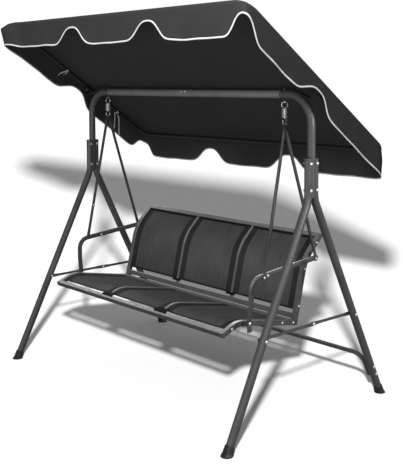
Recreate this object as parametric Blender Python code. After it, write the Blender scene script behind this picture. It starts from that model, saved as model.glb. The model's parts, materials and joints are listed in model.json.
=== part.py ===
"""Three-seat canopy swing bench, built the way the real one is assembled.

Metres, +Z up.  X runs along the seat (left is -X as seen from the front), the
open front faces -Y, and Z = 0 is the floor under the four plastic feet.
"""
import math

import bpy
from mathutils import Matrix, Vector

# Main frame
FRAME_X = 0.860          # centre plane of each leg pair and upright
FOOT_Y = 0.538           # leg axis meets the floor this far front and rear
LEG_R = 0.019
WALL = 0.0009
SLEEVE_Y = 0.0205        # leg axis beside the upright
SLEEVE_LOW = 1.035
SLEEVE_TOP = 1.225
UPRIGHT_LOW = 1.045
BAR_Z = 1.512
BAR_BEND = 0.135
BAR_JOINT_X = 0.680
SPIGOT_R = 0.0174
FOOT_R = 0.028
FOOT_BORE = 0.0197
FOOT_TOP = 0.042
LEG_START = 0.0190       # leg end above the floor, along its axis

# Braces and rear cross tube
BRACE_Z = 0.445
BRACE_MID_Y = 0.045
BRACE_R = 0.007
CROSS_R = 0.011
CROSS_Z = 0.212

# Suspension
HANG_X = 0.697
EYE_WIRE = 0.0025
EYE_R = 0.009
EYE_Z = 1.481            # centre of the eye
SWING_Z = EYE_Z - EYE_R  # spring loop rocks on the bottom of the eye
SPRING_WIRE = 0.0018
SPRING_COIL_R = 0.0122
SPRING_LOOP_R = 0.014
SPRING_TURNS = 10
SPRING_TOP = SWING_Z + EYE_WIRE + SPRING_WIRE + 0.0003
SPRING_LOW = 1.371
PIN_R = 0.0035
PIN_Z = SPRING_LOW + SPRING_WIRE + PIN_R + 0.0003
ROD_R = 0.008
ROD_FLAT = 0.0020        # half thickness of a flattened rod end
ROD_LOW_X = 0.7053

# Seat and back frame
RAIL = 0.025             # square tube
SIDE_X = 0.6625          # centre of the side rails
DIVIDER_X = 0.217
DIVIDER_R = 0.009
SEAT_FRONT = (-0.3705, 0.4435)
SEAT_HUMP = (-0.283, 0.478)
SEAT_REAR = (0.108, 0.4035)
BACK_KNEE = (0.182, 0.700)
BACK_TOP = (0.292, 0.803)
SEAT_RAIL_BACK = 0.020   # rear rail centre, measured back from the corner
BACK_RAIL_UP = 0.030     # bottom rail centre, measured up from the corner
DIVIDER_OFFSET = 0.0020   # divider axis above the rail axes
PANEL_OFFSET = 0.0040
PANEL_HALF = 0.0008
PANEL_TO_DIVIDER = 0.0092
SEAT_PANEL_FRONT = 0.030  # panel end, measured from the front rail axis
SEAT_PANEL_BACK = 0.045   # panel end, measured from the corner
BACK_PANEL_LOW = 0.0605   # panel end, measured up from the corner

# Arm rests
ARM_X = 0.690
ARM_R = 0.0125
ARM_POST_Y = -0.217
FRONT_ROD_LOW = (-0.148, 0.672)
REAR_ROD_LOW = (0.221, 0.7065)

# Canopy
CANOPY_TILT = math.radians(35)
PIVOT_Z = 1.526
CANOPY_LIFT = 0.020      # side tube axis above the pivot
CANOPY_X = 0.930
CANOPY_FRONT = -0.615
CANOPY_REAR = 0.540
CANOPY_R = 0.011
CANOPY_CORNER = 0.070
CANOPY_JOINT_X = 0.800
CANOPY_SPIGOT = 0.0095
CLOTH = 0.0012
CLOTH_GAP = 0.0008
VALANCE_DROP = 0.125      # flap depth below the roof plane
END_LEAN = math.tan(math.radians(33))   # front and rear flaps hang nearly vertical
LEAN_START = 0.0165      # flap follows the tube this far before it leans
LEAN_FROM = 0.10          # distance from the canopy middle at which the lean starts
NOTCH_DEPTH = 0.068
NOTCH_HALF = 0.155
PLATE_X = 0.9185         # bracket plate beside the canopy side tube
KNOB_R = 0.016
LUG_X = 0.922            # lug welded under the canopy side tube

GAP = 0.0003

X_AXIS = Vector((1, 0, 0))
Y_AXIS = Vector((0, 1, 0))
Z_AXIS = Vector((0, 0, 1))


def clear_scene():
    for obj in list(bpy.data.objects):
        bpy.data.objects.remove(obj, do_unlink=True)


def make_material(name, colour, roughness, metallic=0.0):
    mat = bpy.data.materials.new(name)
    mat.use_nodes = True
    shader = mat.node_tree.nodes["Principled BSDF"]
    shader.inputs["Base Color"].default_value = (*colour, 1.0)
    shader.inputs["Roughness"].default_value = roughness
    shader.inputs["Metallic"].default_value = metallic
    return mat


def signed_volume(verts, faces):
    total = 0.0
    for face in faces:
        a = verts[face[0]]
        for i in range(1, len(face) - 1):
            total += a.dot(verts[face[i]].cross(verts[face[i + 1]]))
    return total


def add_body(name, verts, faces, mat, pivot=Vector((0, 0, 0))):
    """One closed body, faces outward, with its origin at pivot."""
    verts = [Vector(v) for v in verts]
    if signed_volume(verts, faces) < 0:
        faces = [tuple(reversed(face)) for face in faces]
    mesh = bpy.data.meshes.new(name)
    mesh.from_pydata([v - pivot for v in verts], [], faces)
    mesh.materials.append(mat)
    obj = bpy.data.objects.new(name, mesh)
    obj.location = pivot
    bpy.context.collection.objects.link(obj)
    return obj


def combine(obj, tool, operation):
    """Apply a boolean of obj with tool, then drop the tool."""
    mod = obj.modifiers.new("combine", "BOOLEAN")
    mod.operation = operation
    mod.solver = "EXACT"
    mod.object = tool
    bpy.context.view_layer.update()
    graph = bpy.context.evaluated_depsgraph_get()
    result = bpy.data.meshes.new_from_object(obj.evaluated_get(graph))
    obj.modifiers.clear()
    obj.data = result
    bpy.data.objects.remove(tool, do_unlink=True)


def cut(obj, cutters):
    """Subtract (start, end, radius, sides) cylinders given in world space."""
    for start, end, radius, sides in cutters:
        tool = rod_body("cutter", start, end, radius, sides, obj.data.materials[0])
        combine(obj, tool, "DIFFERENCE")


def circle(radius, sides):
    step = 2 * math.pi / sides
    return [(radius * math.cos(step * (i + 0.5)), radius * math.sin(step * (i + 0.5)))
            for i in range(sides)]


def oval(half_u, half_w, sides):
    step = 2 * math.pi / sides
    return [(half_u * math.cos(step * (i + 0.5)), half_w * math.sin(step * (i + 0.5)))
            for i in range(sides)]


def square(size, chamfer):
    h = size / 2
    c = h - chamfer
    return [(h, -c), (h, c), (c, h), (-c, h), (-h, c), (-h, -c), (-c, -h), (c, -h)]


def rounded(points, radius, steps):
    """Polyline with every inner corner replaced by an arc of the given radius."""
    points = [Vector(p) for p in points]
    path = [points[0]]
    for i in range(1, len(points) - 1):
        before = (points[i - 1] - points[i]).normalized()
        after = (points[i + 1] - points[i]).normalized()
        half = before.angle(after) / 2
        reach = radius / math.tan(half)
        centre = points[i] + (before + after).normalized() * (radius / math.sin(half))
        start = points[i] + before * reach - centre
        end = points[i] + after * reach - centre
        sweep_angle = start.angle(end)
        for k in range(steps + 1):
            a = sweep_angle * k / steps
            mix = start * math.sin(sweep_angle - a) + end * math.sin(a)
            path.append(centre + mix / math.sin(sweep_angle))
    path.append(points[-1])
    return path


def tangents(path):
    result = []
    for i in range(len(path)):
        ahead = path[min(i + 1, len(path) - 1)]
        behind = path[max(i - 1, 0)]
        result.append((ahead - behind).normalized())
    return result


def place_rings(path, sections, across, ends=(None, None)):
    """World rings of each section; ends may give (point, normal) mitre planes."""
    dirs = tangents(path)
    rings = []
    for i, centre in enumerate(path):
        along = dirs[i]
        u = (across - along * across.dot(along)).normalized()
        w = along.cross(u)
        ring = [centre + u * a + w * b for a, b in sections[i]]
        plane = ends[0] if i == 0 else ends[1] if i == len(path) - 1 else None
        if plane:
            point, normal = plane
            ring = [p + along * ((point - p).dot(normal) / along.dot(normal)) for p in ring]
        rings.append(ring)
    return rings


def join_rings(rings, closed_loop=False):
    """Vertices and side faces of a stack of equal rings."""
    count = len(rings[0])
    verts = [p for ring in rings for p in ring]
    faces = []
    last = len(rings) if closed_loop else len(rings) - 1
    for i in range(last):
        j = (i + 1) % len(rings)
        for k in range(count):
            m = (k + 1) % count
            faces.append((i * count + k, i * count + m, j * count + m, j * count + k))
    return verts, faces


def hollow(name, path, outer, inner, across, mat, pivot=Vector((0, 0, 0)), ends=(None, None)):
    """Open-ended tube: outer and inner sections swept along the same path."""
    path = [Vector(p) for p in path]
    out_rings = place_rings(path, outer, across, ends)
    in_rings = place_rings(path, inner, across, ends)
    verts, faces = join_rings(out_rings + in_rings[::-1], closed_loop=True)
    return add_body(name, verts, faces, mat, pivot)


def tube(name, path, radius, sides, across, mat, pivot=Vector((0, 0, 0)), wall=WALL):
    outer = [circle(radius, sides)] * len(path)
    inner = [circle(radius - wall, sides)] * len(path)
    return hollow(name, path, outer, inner, across, mat, pivot)


def solid(name, path, sections, across, mat, pivot=Vector((0, 0, 0))):
    path = [Vector(p) for p in path]
    return prism(name, place_rings(path, sections, across), mat, pivot)


def prism(name, rings, mat, pivot=Vector((0, 0, 0))):
    """Solid between two or more equal rings, capped at both ends."""
    verts, faces = join_rings(rings)
    count = len(rings[0])
    faces.append(tuple(reversed(range(count))))
    faces.append(tuple(range(len(verts) - count, len(verts))))
    return add_body(name, verts, faces, mat, pivot)


def rod_body(name, start, end, radius, sides, mat):
    across = X_AXIS if abs((end - start).normalized().x) < 0.9 else Y_AXIS
    return solid(name, [start, end], [circle(radius, sides)] * 2, across, mat)


def turned(name, centre, stations, sides, mat, pivot):
    """Solid of revolution about X: stations are (x, radius)."""
    path = [centre + X_AXIS * x for x, _ in stations]
    return solid(name, path, [circle(r, sides) for _, r in stations], Y_AXIS, mat, pivot)


def leg_point(end, along):
    """Point on a leg axis, 'along' metres up from the floor; end is -1 front, +1 rear."""
    foot = Vector((0, end * FOOT_Y, 0))
    knee = Vector((0, end * SLEEVE_Y, SLEEVE_LOW))
    return foot + (knee - foot).normalized() * along


def leg_y(z):
    return FOOT_Y + (SLEEVE_Y - FOOT_Y) * z / SLEEVE_LOW


def build_leg(name, side, end, mat):
    shift = X_AXIS * side * FRAME_X
    knee = Vector((0, end * SLEEVE_Y, SLEEVE_LOW))
    top = Vector((0, end * SLEEVE_Y, SLEEVE_TOP))
    path = rounded([leg_point(end, LEG_START), knee, top], 0.12, 4)
    obj = tube(name, [p + shift for p in path], LEG_R, 14, X_AXIS, mat)
    low = Vector((0, 0, UPRIGHT_LOW - 0.002)) + shift
    high = Vector((0, 0, SLEEVE_TOP + 0.02)) + shift
    cut(obj, [(low, high, LEG_R + 0.0006, 28)])
    return obj


def build_foot(name, side, end, mat):
    shift = X_AXIS * side * FRAME_X
    along = (leg_point(end, 1.0) - leg_point(end, 0.0)).normalized()
    lean = along.cross(X_AXIS)
    socket = LEG_START - 0.0007
    stations = [(0.0, FOOT_R, Y_AXIS), (0.006, FOOT_R, Y_AXIS), (0.0135, 0.0248, Y_AXIS),
                (0.0295, 0.0228, lean), (FOOT_TOP, 0.0222, lean),
                (FOOT_TOP, FOOT_BORE, lean), (socket, FOOT_BORE, lean)]
    rings = []
    for reach, radius, w in stations:
        centre = leg_point(end, reach) + shift
        if w is Y_AXIS:
            centre = leg_point(end, reach / along.z) + shift
        rings.append([centre + X_AXIS * a + w * b for a, b in circle(radius, 14)])
    return prism(name, rings, mat)


def build_corner_tube(name, side, mat):
    path = rounded([(side * BAR_JOINT_X, 0, BAR_Z), (side * FRAME_X, 0, BAR_Z),
                    (side * FRAME_X, 0, UPRIGHT_LOW)], BAR_BEND, 9)
    obj = tube(name, path, LEG_R, 16, Y_AXIS, mat)
    hook = Vector((side * HANG_X, 0, BAR_Z))
    cut(obj, [(hook - Z_AXIS * 0.03, hook + Z_AXIS * 0.03, 0.0046, 12)])
    return obj


def build_top_bar(name, side, mat):
    """Bar half: swaged into the corner tube; the left one also into the right one."""
    joint = side * (BAR_JOINT_X - GAP)
    tip = side * (BAR_JOINT_X + 0.042)
    stations = [(tip, SPIGOT_R), (joint, SPIGOT_R), (joint, LEG_R)]
    if side < 0:
        stations += [(-GAP, LEG_R), (-GAP, SPIGOT_R), (0.055, SPIGOT_R)]
    else:
        stations += [(GAP, LEG_R)]
    path = [Vector((x, 0, BAR_Z)) for x, _ in stations]
    for i in range(1, len(path)):
        if (path[i] - path[i - 1]).length < 1e-6:
            path[i].x -= side * 0.0008
    outer = [circle(r, 16) for _, r in stations]
    inner = [circle(r - WALL, 16) for _, r in stations]
    obj = hollow(name, path, outer, inner, Y_AXIS, mat)
    hook = Vector((side * HANG_X, 0, BAR_Z))
    cut(obj, [(hook - Z_AXIS * 0.03, hook + Z_AXIS * 0.03, 0.0046, 12)])
    return obj


def flat_end_tube(name, start, end, radius, flat, mat, pivot, holes=()):
    """Round tube with both ends pressed flat across X; start and end are bolt centres."""
    along = (end - start).normalized()
    length = (end - start).length
    tip = 0.010
    wide = radius * 1.35
    profile = [(-tip, flat, wide), (0.022, flat, wide), (0.055, radius, radius),
               (length - 0.055, radius, radius), (length - 0.022, flat, wide),
               (length + tip, flat, wide)]
    path = [start + along * s for s, _, _ in profile]
    outer = [oval(u, w, 12) for _, u, w in profile]
    inner = [oval(u - WALL, w - WALL, 12) for _, u, w in profile]
    obj = hollow(name, path, outer, inner, X_AXIS, mat, pivot)
    cut(obj, [(p - X_AXIS * 0.01, p + X_AXIS * 0.01, r, 10) for p, r in holes])
    return obj


def build_braces(side, side_name, mat):
    """Two bars per side, bolted to the legs' inner faces and to each other mid-way."""
    flat = 0.0025
    outer_x = side * (FRAME_X - LEG_R - GAP - flat)
    inner_x = outer_x - side * (2 * flat + GAP)
    reach = leg_y(BRACE_Z)
    front = Vector((outer_x, -reach, BRACE_Z))
    rear = Vector((outer_x, reach, BRACE_Z))
    front_mid = Vector((outer_x, BRACE_MID_Y, BRACE_Z))
    rear_mid = Vector((inner_x, BRACE_MID_Y, BRACE_Z))
    origin = Vector((0, 0, 0))
    flat_end_tube("brace_front_" + side_name, front, front_mid, BRACE_R, flat, mat, origin)
    flat_end_tube("brace_rear_" + side_name, rear, rear_mid, BRACE_R, flat, mat, origin)


def build_cross_tube(name, mat):
    x = FRAME_X - LEG_R - 0.0004 - CROSS_R
    right = [(x, leg_y(0.10), 0.10), (x, leg_y(CROSS_Z), CROSS_Z)]
    left = [(-px, py, pz) for px, py, pz in reversed(right)]
    return tube(name, rounded(right + left, 0.055, 6), CROSS_R, 12, Y_AXIS, mat)


def build_eye_bolt(name, side, mat):
    centre = Vector((side * HANG_X, 0, EYE_Z))
    path = [Vector((0, 0, 0.0605)), Vector((0, 0, 0.0140)), Vector((0, 0, 0.0118))]
    radii = [0.004, 0.004, EYE_WIRE]
    for k in range(17):
        a = math.radians(60 - 292 * k / 16)
        path.append(Vector((EYE_R * math.cos(a), 0, EYE_R * math.sin(a))))
        radii.append(EYE_WIRE)
    path = [centre + p for p in path]
    return solid(name, path, [circle(r, 8) for r in radii], Y_AXIS, mat)


def spring_path():
    """Centre line of the wire: hook loop, coil, hook loop; symmetric end for end."""
    middle = (SPRING_TOP + SPRING_LOW) / 2
    loop_z = SPRING_TOP - SPRING_LOOP_R
    end_part = []
    for k in range(13):
        a = math.radians(130 - 310 * k / 12)
        end_part.append(Vector((0, SPRING_LOOP_R * math.sin(a),
                                loop_z + SPRING_LOOP_R * math.cos(a))))
    coil_top = loop_z - SPRING_LOOP_R - 0.0035
    end_part.append(Vector((0.0008, 0.0050, coil_top + 0.0028)))
    end_part.append(Vector((0.0034, 0.0095, coil_top + 0.0010)))
    start = math.radians(51)
    total = 2 * start + 2 * math.pi * SPRING_TURNS
    drop = 2 * (coil_top - middle)
    steps = SPRING_TURNS * 9
    coil = []
    for k in range(steps + 1):
        a = start - total * k / steps
        coil.append(Vector((SPRING_COIL_R * math.cos(a), SPRING_COIL_R * math.sin(a),
                            coil_top - drop * k / steps)))
    lower = [Vector((p.x, -p.y, 2 * middle - p.z)) for p in reversed(end_part)]
    return end_part + coil + lower


def transported_rings(path, radius, sides):
    """Round rings carried along a path without twisting."""
    dirs = tangents(path)
    u = dirs[0].orthogonal().normalized()
    rings = []
    for centre, along in zip(path, dirs):
        u = (u - along * u.dot(along)).normalized()
        w = along.cross(u)
        rings.append([centre + u * a + w * b for a, b in circle(radius, sides)])
    return rings


def build_spring(name, side, mat):
    shift = X_AXIS * side * HANG_X
    path = [p + shift for p in spring_path()]
    rings = transported_rings(path, SPRING_WIRE, 6)
    return prism(name, rings, mat, Vector((0, 0, SWING_Z)))


def build_pin(name, side, mat, pivot):
    centre = Vector((side * HANG_X, 0, PIN_Z))
    grip = SPRING_WIRE + 2 * GAP + 2 * ROD_FLAT + GAP
    stations = [(-grip - 0.005, 0.0062), (-grip, 0.0062), (-grip + 0.0001, PIN_R),
                (grip - 0.0001, PIN_R), (grip, 0.0068), (grip + 0.004, 0.0068),
                (grip + 0.005, 0.0050)]
    stations = [(side * x, r) for x, r in stations]
    return turned(name, centre, stations, 12, mat, pivot)


def build_rod(name, side, lateral, low, mat, pivot):
    """Hanger rod from the spring pin down to the arm rest."""
    top_x = side * (HANG_X + lateral * (SPRING_WIRE + GAP + ROD_FLAT))
    top = Vector((top_x, 0, PIN_Z))
    bottom = Vector((side * ROD_LOW_X, low[0], low[1]))
    return flat_end_tube(name, top, bottom, ROD_R, ROD_FLAT, mat, pivot,
                         holes=[(top, PIN_R + 0.0005)])


def build_arm(name, side, mat, pivot):
    low_x = SIDE_X + RAIL / 2 + 0.0004 + 0.003
    corners = [(ARM_X, ARM_POST_Y, 0.560), (ARM_X, ARM_POST_Y, 0.6665), (ARM_X, 0.238, 0.7085)]
    bend = rounded(corners, 0.058, 7)
    path = [Vector((low_x, ARM_POST_Y, 0.4235)), Vector((low_x, ARM_POST_Y, 0.474))] + bend
    flat = [(0.003, 0.0155), (0.003, 0.0155)] + [(ARM_R, ARM_R)] * len(bend)
    path = [Vector((side * p.x, p.y, p.z)) for p in path]
    outer = [oval(u, w, 12) for u, w in flat]
    inner = [oval(u - WALL, w - WALL, 12) for u, w in flat]
    return hollow(name, path, outer, inner, X_AXIS, mat, pivot)


def seat_line():
    corners = [(0, *SEAT_FRONT), (0, *SEAT_HUMP), (0, *SEAT_REAR)]
    return rounded(corners, 0.15, 6)


def back_line():
    corners = [(0, *SEAT_REAR), (0, *BACK_KNEE), (0, *BACK_TOP)]
    return rounded(corners, 0.20, 6)


def trimmed(path, from_start, from_end):
    """Path shortened by a length at each end; both cuts lie on the end segments."""
    path = list(path)
    path[0] = path[0] + (path[1] - path[0]).normalized() * from_start
    path[-1] = path[-1] + (path[-2] - path[-1]).normalized() * from_end
    return path


def offset_line(path, amount):
    """Path moved sideways in the YZ plane, towards the sitter for positive amounts."""
    dirs = tangents(path)
    return [p + X_AXIS.cross(d) * amount for p, d in zip(path, dirs)]


def square_sections(count, wall=WALL):
    outer = [square(RAIL, 0.002)] * count
    inner = [square(RAIL - 2 * wall, 0.0015)] * count
    return outer, inner


def mitre(point, first, second, back_off):
    """Mitre plane between two tubes, moved back along the first one."""
    normal = (first + second).normalized()
    return point - normal * back_off, normal


def side_rail(name, side, line, start_dir, end_dir, mat, pivot):
    """Side rail mitred at both ends against the tubes that meet it there."""
    path = [p + X_AXIS * side * SIDE_X for p in line]
    dirs = tangents(path)
    start = mitre(path[0], start_dir, dirs[0], -GAP / 2)
    end = mitre(path[-1], dirs[-1], end_dir, GAP / 2)
    outer, inner = square_sections(len(path))
    return hollow(name, path, outer, inner, X_AXIS, mat, pivot, ends=(start, end))


def cross_rail(name, centre, lean, half_length, mat, pivot, corner_dir=None):
    """Rail along X; corner_dir gives mitred ends against side rails leaving that way."""
    path = [Vector((-half_length, centre.y, centre.z)), Vector((half_length, centre.y, centre.z))]
    outer, inner = square_sections(2)
    ends = (None, None)
    if corner_dir is not None:
        ends = (mitre(path[0], X_AXIS, -corner_dir, -GAP / 2),
                mitre(path[1], X_AXIS, corner_dir, GAP / 2))
    return hollow(name, path, outer, inner, lean, mat, pivot, ends=ends)


def build_seat_frame(mat, pivot):
    line = seat_line()
    dirs = tangents(line)
    back_dir = tangents(back_line())[0]
    for side, side_name in ((-1, "left"), (1, "right")):
        side_rail("seat_side_rail_" + side_name, side, line, X_AXIS * side, back_dir, mat, pivot)
    cross_rail("seat_front_rail", line[0], dirs[0], SIDE_X, mat, pivot, corner_dir=dirs[0])
    rear = line[-1] - dirs[-1] * SEAT_RAIL_BACK
    inner_half = SIDE_X - RAIL / 2 - GAP
    cross_rail("seat_rear_rail", rear, dirs[-1], inner_half, mat, pivot)
    gap = RAIL / 2 + GAP
    bar = offset_line(trimmed(line, gap, SEAT_RAIL_BACK + gap), DIVIDER_OFFSET)
    for x, tag in ((-DIVIDER_X, "left"), (DIVIDER_X, "right")):
        path = [p + X_AXIS * x for p in bar]
        tube("seat_divider_" + tag, path, DIVIDER_R, 8, X_AXIS, mat, pivot)


def build_back_frame(mat, pivot):
    line = back_line()
    dirs = tangents(line)
    seat_dir = tangents(seat_line())[-1]
    for side, side_name in ((-1, "left"), (1, "right")):
        side_rail("back_side_rail_" + side_name, side, line, seat_dir, X_AXIS * -side, mat, pivot)
    cross_rail("back_top_rail", line[-1], dirs[-1], SIDE_X, mat, pivot, corner_dir=-dirs[-1])
    low = line[0] + dirs[0] * BACK_RAIL_UP
    inner_half = SIDE_X - RAIL / 2 - GAP
    cross_rail("back_bottom_rail", low, dirs[0], inner_half, mat, pivot)
    gap = RAIL / 2 + GAP
    bar = offset_line(trimmed(line, BACK_RAIL_UP + gap, gap), DIVIDER_OFFSET)
    for x, tag in ((-DIVIDER_X, "left"), (DIVIDER_X, "right")):
        path = [p + X_AXIS * x for p in bar]
        tube("back_divider_" + tag, path, DIVIDER_R, 8, X_AXIS, mat, pivot)


def build_panels(prefix, line, mat, pivot):
    """Three woven panels between the side rails and the dividers."""
    edge = SIDE_X - RAIL / 2 - GAP
    outer = DIVIDER_X + PANEL_TO_DIVIDER
    inner = DIVIDER_X - PANEL_TO_DIVIDER
    spans = (("left", -edge, -outer), ("middle", -inner, inner), ("right", outer, edge))
    middle_line = offset_line(line, PANEL_OFFSET)
    for tag, x0, x1 in spans:
        centre = X_AXIS * (x0 + x1) / 2
        half = (x1 - x0) / 2
        section = [(half, -PANEL_HALF), (half, PANEL_HALF), (-half, PANEL_HALF), (-half, -PANEL_HALF)]
        path = [p + centre for p in middle_line]
        solid(prefix + "_panel_" + tag, path, [section] * len(path), X_AXIS, mat, pivot)


def canopy_point(x, v, n):
    """Canopy tube plane to world: v to the rear, n out of the roof."""
    c = math.cos(CANOPY_TILT)
    s = math.sin(CANOPY_TILT)
    n += CANOPY_LIFT
    return Vector((x, v * c + n * s, PIVOT_Z - v * s + n * c))


def build_canopy_frame(mat, pivot):
    up = canopy_point(0, 0, 1) - canopy_point(0, 0, 0)
    for side, side_name in ((-1, "left"), (1, "right")):
        corners = [canopy_point(side * CANOPY_JOINT_X, CANOPY_FRONT, 0),
                   canopy_point(side * CANOPY_X, CANOPY_FRONT, 0),
                   canopy_point(side * CANOPY_X, CANOPY_REAR, 0),
                   canopy_point(side * CANOPY_JOINT_X, CANOPY_REAR, 0)]
        path = rounded(corners, CANOPY_CORNER, 5)
        obj = tube("canopy_side_tube_" + side_name, path, CANOPY_R, 10, up, mat, pivot)
        outline = [(-0.012, -0.0065), (0.012, -0.0065), (0.012, -0.022), (0.006, -0.031),
                   (-0.006, -0.031), (-0.012, -0.022)]
        rings = [[canopy_point(side * x, v, n) for v, n in outline]
                 for x in (LUG_X - 0.0015, LUG_X + 0.0015)]
        combine(obj, prism("lug", rings, mat), "UNION")
        start = Vector((side * (LUG_X - 0.006), 0, PIVOT_Z))
        cut(obj, [(start, start + X_AXIS * side * 0.012, 0.0045, 10)])
    for tag, v in (("front", CANOPY_FRONT), ("rear", CANOPY_REAR)):
        joint = CANOPY_JOINT_X - GAP
        xs = [(-joint - 0.04, CANOPY_SPIGOT), (-joint, CANOPY_SPIGOT), (-joint + 0.0008, CANOPY_R),
              (joint - 0.0008, CANOPY_R), (joint, CANOPY_SPIGOT), (joint + 0.04, CANOPY_SPIGOT)]
        path = [canopy_point(x, v, 0) for x, _ in xs]
        outer = [circle(r, 10) for _, r in xs]
        inner = [circle(r - WALL, 10) for _, r in xs]
        hollow("canopy_" + tag + "_tube", path, outer, inner, up, mat, pivot)


def strip_polygon(points, thickness):
    """Outline of a bent strip of even thickness around a polyline in the XZ plane."""
    left = []
    right = []
    for i, p in enumerate(points):
        before = (p - points[i - 1]).normalized() if i else None
        after = (points[i + 1] - p).normalized() if i < len(points) - 1 else None
        along = ((before or after) + (after or before)).normalized()
        normal = Vector((-along.z, 0, along.x))
        scale = thickness / 2 / normal.dot(Vector((-(after or before).z, 0, (after or before).x)))
        left.append(p + normal * scale)
        right.append(p - normal * scale)
    return left + right[::-1]


def build_bracket(name, side, mat):
    """Bent steel strap from the top bar to the canopy pivot."""
    z0 = BAR_Z + LEG_R + GAP + 0.0015
    points = [(0.708, z0), (0.738, z0), (0.790, 1.5220), (0.850, 1.4980),
              (PLATE_X, 1.4980), (PLATE_X, PIVOT_Z + 0.0100)]
    outline = strip_polygon([Vector((x, 0, z)) for x, z in points], 0.003)
    rings = [[Vector((side * p.x, y, p.z)) for p in outline] for y in (-0.013, 0.013)]
    obj = prism(name, rings, mat)
    start = Vector((side * (PLATE_X - 0.006), 0, PIVOT_Z))
    cut(obj, [(start, start + X_AXIS * side * 0.012, 0.0045, 10)])
    return obj


def build_knob(name, side, mat):
    """Lobed clamping knob with its threaded shank through bracket and tube."""
    centre = Vector((0, 0, PIVOT_Z))
    face = PLATE_X - 0.0015 - GAP
    stations = [(face - 0.026, 0.6), (face - 0.023, 0.8), (face - 0.022, 1.0),
                (face - 0.009, 1.0), (face - 0.007, 0.8), (face - 0.0065, 0.55), (face, 0.55)]
    rings = []
    count = 20
    for x, scale in stations:
        ring = []
        for k in range(count):
            a = 2 * math.pi * (k + 0.5) / count
            lobe = 1.0 + (0.10 * math.cos(5 * a) if scale > 0.7 else 0.0)
            r = KNOB_R * scale * lobe
            ring.append(centre + Vector((side * x, r * math.cos(a), r * math.sin(a))))
        rings.append(ring)
    for x in (face + 0.0001, LUG_X + 0.010):
        ring = []
        for k in range(count):
            a = 2 * math.pi * (k + 0.5) / count
            ring.append(centre + Vector((side * x, 0.0038 * math.cos(a), 0.0038 * math.sin(a))))
        rings.append(ring)
    return prism(name, rings, mat, centre)


def cover_outline(grow, steps):
    """Rounded rectangle around the canopy tubes as (x, v), with the corner arcs."""
    half = CANOPY_X + CANOPY_R + grow
    front = CANOPY_FRONT - CANOPY_R - grow
    rear = CANOPY_REAR + CANOPY_R + grow
    radius = CANOPY_CORNER + CANOPY_R + grow
    arcs = []
    for cx, cv, a0 in ((half - radius, front + radius, -90), (half - radius, rear - radius, 0),
                       (-half + radius, rear - radius, 90), (-half + radius, front + radius, 180)):
        arc = []
        for k in range(2 * steps + 1):
            a = math.radians(a0 + 90 * k / (2 * steps))
            arc.append((cx + radius * math.cos(a), cv + radius * math.sin(a)))
        arcs.append(arc)
    return arcs


def notch(distance):
    """Height of a scallop cut at a distance from its middle: round top, flared foot."""
    part = min(1.0, abs(distance) / NOTCH_HALF)
    return NOTCH_DEPTH * (1 - part ** 2) ** 2


def end_weight(v):
    """1 at the front and rear flaps, falling to 0 towards the middle of the side flaps."""
    middle = (CANOPY_FRONT + CANOPY_REAR) / 2
    half = (CANOPY_REAR - CANOPY_FRONT) / 2
    return min(1.0, max(0.0, (abs(v - middle) - LEAN_FROM) / (half - LEAN_FROM)))


def flap_point(edge_point, depth):
    """Point of a hanging flap, 'depth' below the roof sheet; its ends lean back."""
    x, v = edge_point
    lean = END_LEAN * end_weight(v) * max(0.0, depth - LEAN_START)
    return canopy_point(x, v + lean, CANOPY_R + CLOTH_GAP - GAP - depth)


def build_valance(name, edge, mat, pivot):
    """One hanging flap; edge 0 front, 1 right, 2 rear, 3 left, from mid-corner to mid-corner."""
    steps = 4
    loops = []
    for grow in (CLOTH_GAP, CLOTH_GAP + CLOTH):
        arcs = cover_outline(grow, steps)
        first = arcs[(edge + 3) % 4]
        second = arcs[edge]
        points = list(first[steps:]) + list(second[:steps + 1])
        start = Vector((*first[-1], 0))
        end = Vector((*second[0], 0))
        straight = [tuple(start.lerp(end, k / 40).xy) for k in range(1, 40)]
        points = points[:steps + 1] + straight + points[steps + 1:]
        for i, j in ((0, 1), (-1, -2)):
            a = Vector((*points[i], 0))
            b = Vector((*points[j], 0))
            points[i] = tuple((a + (b - a).normalized() * GAP / 2).xy)
        loops.append(points)
    inner, outer = loops
    lengths = [0.0]
    for a, b in zip(outer, outer[1:]):
        lengths.append(lengths[-1] + math.hypot(b[0] - a[0], b[1] - a[1]))
    total = lengths[-1]
    centres = {0: (total / 3, 2 * total / 3, total), 1: (0.0, total / 2),
               2: (total / 3, 2 * total / 3, total), 3: (0.0, total / 2)}[edge]
    rings = []
    for i in range(len(outer)):
        depth = VALANCE_DROP - sum(notch(lengths[i] - c) for c in centres)
        ring = [flap_point(outer[i], d) for d in (0.0, LEAN_START, depth)]
        ring += [flap_point(inner[i], d) for d in (depth, LEAN_START, 0.0)]
        rings.append(ring)
    return prism(name, rings, mat, pivot)


def build_canopy_top(name, mat, pivot):
    arcs = cover_outline(CLOTH_GAP + CLOTH, 3)
    outline = [p for arc in arcs for p in arc]
    low = CANOPY_R + CLOTH_GAP
    rings = [[canopy_point(x, v, n) for x, v in outline] for n in (low, low + CLOTH)]
    return prism(name, rings, mat, pivot)


def build_frame(steel, zinc, plastic):
    for side, side_name in ((-1, "left"), (1, "right")):
        for end, end_name in ((-1, "front"), (1, "rear")):
            tag = end_name + "_" + side_name
            build_leg("leg_" + tag, side, end, steel)
            build_foot("foot_" + tag, side, end, plastic)
        build_corner_tube("corner_tube_" + side_name, side, steel)
        build_top_bar("top_bar_" + side_name, side, steel)
        build_braces(side, side_name, steel)
        build_eye_bolt("eye_bolt_" + side_name, side, zinc)
        build_bracket("canopy_bracket_" + side_name, side, steel)
    build_cross_tube("rear_cross_tube", steel)


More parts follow.
